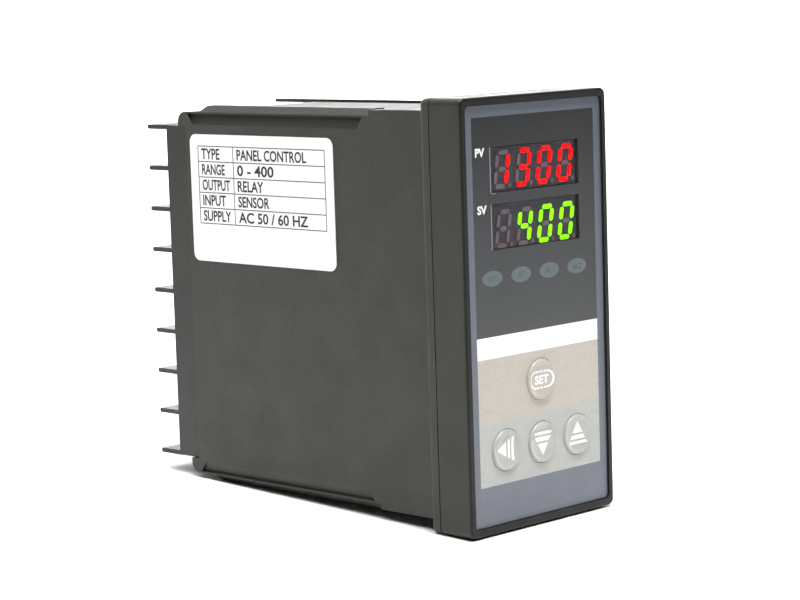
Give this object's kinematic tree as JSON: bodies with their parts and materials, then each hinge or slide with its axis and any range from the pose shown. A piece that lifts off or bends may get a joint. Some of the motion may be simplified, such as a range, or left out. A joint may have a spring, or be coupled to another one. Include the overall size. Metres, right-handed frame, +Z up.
{
  "type": "panel-mount temperature controller",
  "caption": "Panel-mount digital temperature controller with two LED displays, embossed keys, a draw-out chassis and a rear screw terminal block.",
  "frame": {"origin": "middle of the panel cut-out, in the plane of the panel's front face, which the case's flange bears on", "axes": "+X to the right as the user reads the face, +Y runs back into the panel along the case, +Z up"},
  "size_m": [0.048, 0.1076, 0.096],
  "materials": {
    "case_plastic": "black ABS with a fine spark-eroded texture",
    "bezel_plastic": "black ABS, smoother than the case",
    "block_plastic": "black moulded terminal block",
    "contact_metal": "nickel-plated brass",
    "screw_metal": "zinc-plated steel",
    "label": "printed silver-white sticker",
    "overlay": "printed polyester film",
    "window": "smoked transparent window",
    "indicator_window": "smoked translucent window",
    "display_body": "dark display face",
    "segment_red": "lit red segment",
    "segment_green": "lit yellow-green segment",
    "segment_unlit": "unlit segment",
    "led": "tinted LED",
    "circuit_board": "green solder mask",
    "switch_plastic": "black moulded switch and header bodies",
    "rail_plastic": "natural grey moulding",
    "gold_pad": "gold-plated pads",
    "core_steel": "varnished steel laminations",
    "winding": "taped copper winding",
    "relay_plastic": "blue relay covers",
    "capacitor_sleeve": "dark sleeves",
    "chip_black": "black epoxy packages",
    "chip_white": "white isolator packages",
    "chip_ceramic": "chip resistors and capacitors",
    "varistor": "blue epoxy disc",
    "heat_sink_aluminium": "extruded aluminium",
    "crystal_can": "pressed steel can",
    "key_film": "embossed printed film"
  },
  "bodies": {
    "housing": {"case": "case_plastic", "terminal_block": "block_plastic", "terminal_contacts": "contact_metal", "clamp_washers": "screw_metal", "terminal_screws": "screw_metal", "block_screws": "screw_metal", "rating_label": "label"},
    "chassis": {"bezel": "bezel_plastic", "overlay_film": "overlay", "display_windows": "window", "indicator_windows": "indicator_window", "pv_display": "display_body", "pv_lit_segments": "segment_red", "pv_unlit_segments": "segment_unlit", "sv_display": "display_body", "sv_lit_segments": "segment_green", "sv_unlit_segments": "segment_unlit", "indicator_leds": "led", "display_board": "circuit_board", "display_board_screws": "screw_metal", "tact_switches": "switch_plastic", "upper_board_rail": "rail_plastic", "lower_board_rail": "rail_plastic", "control_board": "circuit_board", "power_board": "circuit_board", "contact_pads": "gold_pad", "board_headers": "switch_plastic", "rear_spacer": "rail_plastic", "transformer_core": "core_steel", "transformer_winding": "winding", "output_relays": "relay_plastic", "electrolytic_capacitors": "capacitor_sleeve", "bridge_rectifier": "chip_black", "varistor": "varistor", "heat_sink": "heat_sink_aluminium", "voltage_regulator": "chip_black", "microcontroller": "chip_black", "small_chips": "chip_black", "crystal": "crystal_can", "chip_parts": "chip_ceramic", "isolators": "chip_white"},
    "set_button": {"set_key": "key_film", "set_key_stem": "rail_plastic"},
    "left_button": {"left_key": "key_film", "left_key_stem": "rail_plastic"},
    "down_button": {"down_key": "key_film", "down_key_stem": "rail_plastic"},
    "up_button": {"up_key": "key_film", "up_key_stem": "rail_plastic"}
  },
  "joints": [
    {"name": "chassis_slide", "type": "slide", "parent": "housing", "child": "chassis", "axis": [0, -1, 0], "range_m": [0, 0.115]},
    {"name": "set_press", "type": "slide", "parent": "chassis", "child": "set_button", "axis": [0, 1, 0], "range_m": [0, 0.0004], "stiffness_N_per_m": 800, "springref_m": -0.0008},
    {"name": "left_press", "type": "slide", "parent": "chassis", "child": "left_button", "axis": [0, 1, 0], "range_m": [0, 0.0004], "stiffness_N_per_m": 800, "springref_m": -0.0008},
    {"name": "down_press", "type": "slide", "parent": "chassis", "child": "down_button", "axis": [0, 1, 0], "range_m": [0, 0.0004], "stiffness_N_per_m": 800, "springref_m": -0.0008},
    {"name": "up_press", "type": "slide", "parent": "chassis", "child": "up_button", "axis": [0, 1, 0], "range_m": [0, 0.0004], "stiffness_N_per_m": 800, "springref_m": -0.0008}
  ]
}
